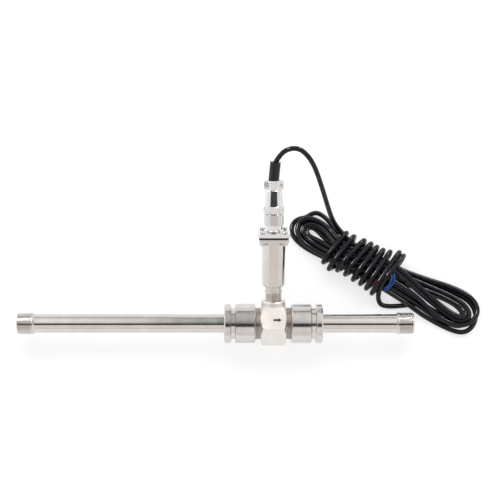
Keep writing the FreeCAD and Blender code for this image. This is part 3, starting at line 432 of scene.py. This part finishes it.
def paint_neck_shade(made, half_hexagon, neck_shade_colour):
    """Paints shade on the body past the hexagon, which reaches half_hexagon from the stem: the necks there get a
    darker colour as painted shade.
    """
    tree = made.node_tree
    shader = tree.nodes["Principled BSDF"]
    finish = shader.inputs["Base Color"].links[0].from_socket
    axes = add(tree, "ShaderNodeSeparateXYZ")
    tree.links.new(place(tree, (1, 1, 1)), axes.inputs["Vector"])
    aside = calculate(tree, "ABSOLUTE", calculate(tree, "SUBTRACT", axes.outputs["X"], stem_x))
    neck = spread(tree, aside, 0, 1, half_hexagon, half_hexagon + 0.0003)
    tree.links.new(blend(tree, neck, finish, (*neck_shade_colour, 1)), shader.inputs["Base Color"])


# Painted shade: the necks between the hexagon and the nuts are coloured darker, standing in for the shade that
# falls there.
paint_neck_shade(materials["body_steel"], 0.0121, (0.34, 0.30, 0.27))
materials["coil_copper"] = wound_copper()
materials["board_green"] = circuit_board()


def dress(piece, material):
    """Gives a piece one material, on the object and not on its mesh."""
    if not piece.material_slots:
        piece.data.materials.append(None)
    for held in piece.material_slots:
        held.link = "OBJECT"
        held.material = material


own_steel = {"pickup_stem": "stem_steel", "meter_body": "body_steel"}
slot_of = {part["node"]: part["material_slot"] for part in frame["record"]["subparts"]}
for node, slot_name in slot_of.items():
    if node in nodes:
        dress(nodes[node], materials[own_steel.get(node, slot_name)])
dress(cable, materials["cable_black"])
for wire in wires:
    dress(wire, materials[wire.name])


# Pipes and stem with their real threads

turned_steps = 96
steps_a_pitch = 14


def mesh_piece(name, build, smooth=True):
    """A mesh object from a function that fills a bmesh."""
    bm = bmesh.new()
    build(bm)
    bmesh.ops.recalc_face_normals(bm, faces=bm.faces)
    mesh = bpy.data.meshes.new(name)
    bm.to_mesh(mesh)
    bm.free()
    for face in mesh.polygons:
        face.use_smooth = smooth
    piece = bpy.data.objects.new(name, mesh)
    bpy.context.scene.collection.objects.link(piece)
    return piece


def thread_radius(thread, outer, along, turn):
    """The outside at one place of a right-hand thread with narrow crests."""
    start, end, depth, pitch, chamfer, run_in, run_out = thread
    wave = 0.5 + 0.5 * math.cos(2 * math.pi * along / pitch - turn)
    fade = max(0.0, min(1.0, (along - start) / run_in + 0.001, (end - along) / run_out))
    groove = depth * fade * (1 - min(1.0, 1.25 * wave))
    return min(outer - groove, outer - chamfer + along - start)


def threaded_piece(name, node, material, axis_at, profile, thread):
    """A piece turned about an axis, with a thread on one stretch of its outside.

    axis_at is a point of the axis and the directions across, beside and forward. profile is (along,
    radius) round the section. thread is (start, end, depth, pitch, end chamfer, run-in, run-out).
    """
    origin, across, beside, forward = (Vector(v) for v in axis_at)
    start, end, _, pitch, chamfer, _, _ = thread
    turns = [2 * math.pi * k / turned_steps for k in range(turned_steps)]
    stations = []
    for (here, radius), (after, _) in zip(profile, profile[1:] + profile[:1]):
        stations.append((here, radius, False))
        if (here, after) == (start, end):
            fine = math.ceil((end - start) / pitch * steps_a_pitch)
            stations += [(start + (end - start) * k / fine, radius + chamfer, True) for k in range(1, fine)]

    def build(bm):
        rings = []
        for along, radius, cut in stations:
            ring = []
            for turn in turns:
                outside = thread_radius(thread, radius, along, turn) if cut else radius
                spoke = across * math.cos(turn) + beside * math.sin(turn)
                ring.append(bm.verts.new(origin + forward * along + outside * spoke))
            rings.append(ring)
        for ring, after in zip(rings, rings[1:] + rings[:1]):
            for k in range(turned_steps):
                following = (k + 1) % turned_steps
                bm.faces.new((ring[k], ring[following], after[following], after[k]))

    piece = mesh_piece(name, build)
    piece.data.set_sharp_from_angle(angle=math.radians(32))
    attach(piece, "meter")
    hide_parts(node)
    dress(piece, materials[material])


def pipe_profile(length):
    """A pipe's section from its threaded end: chamfer, thread, run-out, tube and bore."""
    outer, tube, bore, chamfer, edge = 0.0104775, 0.009, 0.005, 0.0013, 0.0003
    return [
        (0.0, outer - chamfer), (0.0146, outer), (0.01535, outer), (0.0166, tube), (0.0168, tube),
        (length * 0.5, tube), (length - edge, tube), (length, tube - edge),
        (length, bore + 0.0002), (length - 0.0002, bore), (edge, bore), (0.0, bore + edge),
    ]


# The half-inch pipe thread and the stem's M16 with a pitch of 1.5 mm
pipe_thread = (0.0, 0.0146, 0.0011, 0.0018143, 0.0013, 0.0001, 0.0012)
stem_thread = (0.023, 0.0313, 0.0009, 0.0015, 0.0, 0.0002, 0.0006)

# The stem: its end in the boss, the threaded neck, the lock ring, the spigot in the housing and the bore
stem_profile = [
    (0.0084, 0.0002), (0.0084, 0.007), (0.023, 0.007), (0.023, 0.0079), (0.0313, 0.0079), (0.0316, 0.0079),
    (0.0316, 0.0083), (0.0318, 0.0085), (0.0326, 0.0085), (0.0328, 0.0083), (0.0328, 0.0079), (0.037, 0.0079),
    (0.037, 0.007), (0.042, 0.007), (0.042, 0.005), (0.0092, 0.005), (0.0092, 0.0002),
]
threaded_piece(
    "inlet_pipe_threaded", "inlet_pipe", "pipe_steel",
    ((0, 0, 0), (0, 1, 0), (0, 0, 1), (1, 0, 0)), pipe_profile(0.2021), pipe_thread,
)
threaded_piece(
    "outlet_pipe_threaded", "outlet_pipe", "pipe_steel",
    ((0.380, 0, 0), (0, 1, 0), (0, 0, -1), (-1, 0, 0)), pipe_profile(0.0913), pipe_thread,
)
threaded_piece(
    "pickup_stem_threaded", "pickup_stem", "stem_steel",
    ((stem_x, 0, 0), (1, 0, 0), stem_axis.cross(Vector((1, 0, 0))), stem_axis), stem_profile, stem_thread,
)


def arrow_outline(bm):
    """A flow arrow on the hexagon's upper face, a thin coat of black paint."""
    start, neck, barb, tip = 0.2452, 0.2500, 0.2498, 0.2530
    side, shaft, head = -0.00185, 0.00095, 0.0021
    top, coat = 0.01904, 0.0001
    outline = (
        (start, side - shaft), (neck, side - shaft), (barb, side - head), (tip, side),
        (barb, side + head), (neck, side + shaft), (start, side + shaft),
    )
    lower = [bm.verts.new((x, y, top - coat)) for x, y in outline]
    upper = [bm.verts.new((x, y, top)) for x, y in outline]
    bm.faces.new(upper)
    bm.faces.new(lower[::-1])
    for k in range(len(outline)):
        after = (k + 1) % len(outline)
        bm.faces.new((lower[k], lower[after], upper[after], upper[k]))


arrow = mesh_piece("flow_arrow", arrow_outline, smooth=False)
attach(arrow, "meter")
dress(arrow, materials["arrow_black"])


# Floor, lamps and world

floor_reach = 4
corners = [(x * floor_reach, y * floor_reach, ground) for x, y in ((-1, -1), (1, -1), (1, 1), (-1, 1))]
floor_mesh = bpy.data.meshes.new("floor")
floor_mesh.from_pydata(corners, [], [(0, 1, 2, 3)])
floor = bpy.data.objects.new("floor", floor_mesh)
bpy.context.scene.collection.objects.link(floor)
floor_material, floor_tree, floor_shader = fresh("floor", 0.0, 0.9)
floor_shader.inputs["Base Color"].default_value = (0.5, 0.5, 0.5, 1)
floor_shader.inputs["Specular IOR Level"].default_value = 0.0
rays = add(floor_tree, "ShaderNodeLightPath").outputs
mirrored_ray = calculate(floor_tree, "MAXIMUM", rays["Is Glossy Ray"], rays["Is Transmission Ray"])
seen_ray = calculate(floor_tree, "MAXIMUM", rays["Is Camera Ray"], mirrored_ray)
floor_lift = 0.66
floor_shader.inputs["Emission Color"].default_value = (1, 1, 1, 1)
floor_tree.links.new(
    calculate(floor_tree, "MULTIPLY", seen_ray, floor_lift), floor_shader.inputs["Emission Strength"],
)
dress(floor, floor_material)

lamp_target = Vector((0.2173, 0.03, 0.0))


def soft_lamp(name, toward, distance, size, power):
    """A large soft lamp, toward degrees back from overhead, facing the object and not mirrored in it."""
    data = bpy.data.lights.new(name, "AREA")
    data.shape = "RECTANGLE"
    data.size, data.size_y = size
    data.energy = power
    lamp = bpy.data.objects.new(name, data)
    bpy.context.scene.collection.objects.link(lamp)
    lean = math.radians(toward)
    lamp.location = lamp_target + Vector((0, math.sin(lean), math.cos(lean))) * distance
    lamp.rotation_euler = (-lean, 0, 0)
    lamp.visible_glossy = False


soft_lamp("lamp_back", 50, 1.3, (2.4, 0.9), 13)
soft_lamp("lamp_front", -58, 1.4, (2.4, 1.3), 7)

world = bpy.data.worlds.new("world")
bpy.context.scene.world = world
world.use_nodes = True
tree = world.node_tree
tree.nodes.clear()
axes = add(tree, "ShaderNodeSeparateXYZ")
tree.links.new(add(tree, "ShaderNodeTexCoord").outputs["Generated"], axes.inputs["Vector"])
sideways = axes.outputs["X"]
backwards = calculate(tree, "ARCTAN2", axes.outputs["Y"], axes.outputs["Z"])


def panels(stops):
    """What mirrors see by the direction's angle, from (degrees back from overhead, colour) stops."""
    return shade(tree, bent_angle, [((degrees + 180) / 360, colour) for degrees, colour in stops])


def soft_box(low, high, near, far):
    """1 where the direction is low to high degrees back from overhead and its x is near to far."""
    edge, side_edge = 2, 0.02
    rise = spread(tree, backwards, 0, 1, math.radians(low - edge), math.radians(low + edge))
    fall = spread(tree, backwards, 1, 0, math.radians(high - edge), math.radians(high + edge))
    side_rise = spread(tree, sideways, 0, 1, near - side_edge, near + side_edge)
    side_fall = spread(tree, sideways, 1, 0, far - side_edge, far + side_edge)
    height = calculate(tree, "MULTIPLY", rise, fall)
    return calculate(tree, "MULTIPLY", height, calculate(tree, "MULTIPLY", side_rise, side_fall))


# The dark panel in front bends a little at its two sides
bend = math.radians(10)
squared = calculate(tree, "MULTIPLY", sideways, sideways)
bent = calculate(tree, "MULTIPLY_ADD", squared, bend, backwards)
bent_angle = spread(tree, bent, 0, 1, -math.pi, math.pi)
front = [
    (-95, (0.86, 0.82, 0.81)), (-38, (0.99, 0.94, 0.92)), (-35, (0.05, 0.05, 0.05)), (-17, (0.04, 0.035, 0.03)),
]
shaded = panels(front + [
    (-12, (0.08, 0.10, 0.10)), (48, (0.34, 0.37, 0.36)), (57, (0.22, 0.21, 0.2)), (67, (1.0, 0.99, 0.97)),
])
lit = panels(front + [
    (-12, (0.95, 0.92, 0.9)), (16, (1.2, 1.16, 1.14)), (50, (1.05, 1.01, 0.99)), (57, (0.2, 0.18, 0.17)),
    (67, (1.0, 0.98, 0.96)),
])

# The shaded stretch is what the inlet's nut mirrors, and far to the sides all is bright
shade_start = spread(tree, sideways, 0, 1, -0.075, -0.03)
shade_end = spread(tree, sideways, 1, 0, 0.01, 0.03)
around = blend(tree, calculate(tree, "MULTIPLY", shade_start, shade_end), lit, shaded)
black, pale, white = (0, 0, 0), (0.9, 0.9, 0.9), (1, 1, 1)
sides = shade(tree, spread(tree, sideways, 0, 1, -1, 1), (
    (0.0, white), (0.13, white), (0.19, black), (0.81, black), (0.87, pale), (1.0, pale),
))
around = blend(tree, 1.0, around, sides, blend_type="LIGHTEN")

# Two soft boxes behind, one to each side, much brighter than the rest
box_brightness = 34
bright_boxes = calculate(tree, "ADD", soft_box(46, 62, 0.32, 0.48), soft_box(22, 42, -0.62, -0.46))
mirrored = add(tree, "ShaderNodeBackground")
tree.links.new(around, mirrored.inputs["Color"])
tree.links.new(calculate(tree, "MULTIPLY_ADD", bright_boxes, box_brightness, 1), mirrored.inputs["Strength"])

# Light for matt surfaces, and the white that the camera sees
open_sky = add(tree, "ShaderNodeBackground", Color=(1, 1, 1, 1), Strength=0.42)
backdrop = add(tree, "ShaderNodeBackground", Color=(1, 1, 1, 1), Strength=1.0)
rays = add(tree, "ShaderNodeLightPath").outputs
either = calculate(tree, "MAXIMUM", rays["Is Camera Ray"], rays["Is Transmission Ray"])


def choose(factor, first, second):
    """One background where the factor is 0 and another where it is 1."""
    node = add(tree, "ShaderNodeMixShader")
    for value, socket in zip((factor, first, second), node.inputs):
        tree.links.new(value, socket)
    return node.outputs[0]


sky = choose(rays["Is Glossy Ray"], open_sky.outputs[0], mirrored.outputs[0])
output = add(tree, "ShaderNodeOutputWorld")
tree.links.new(choose(either, sky, backdrop.outputs[0]), output.inputs["Surface"])

bpy.context.scene.view_settings.view_transform = "Standard"
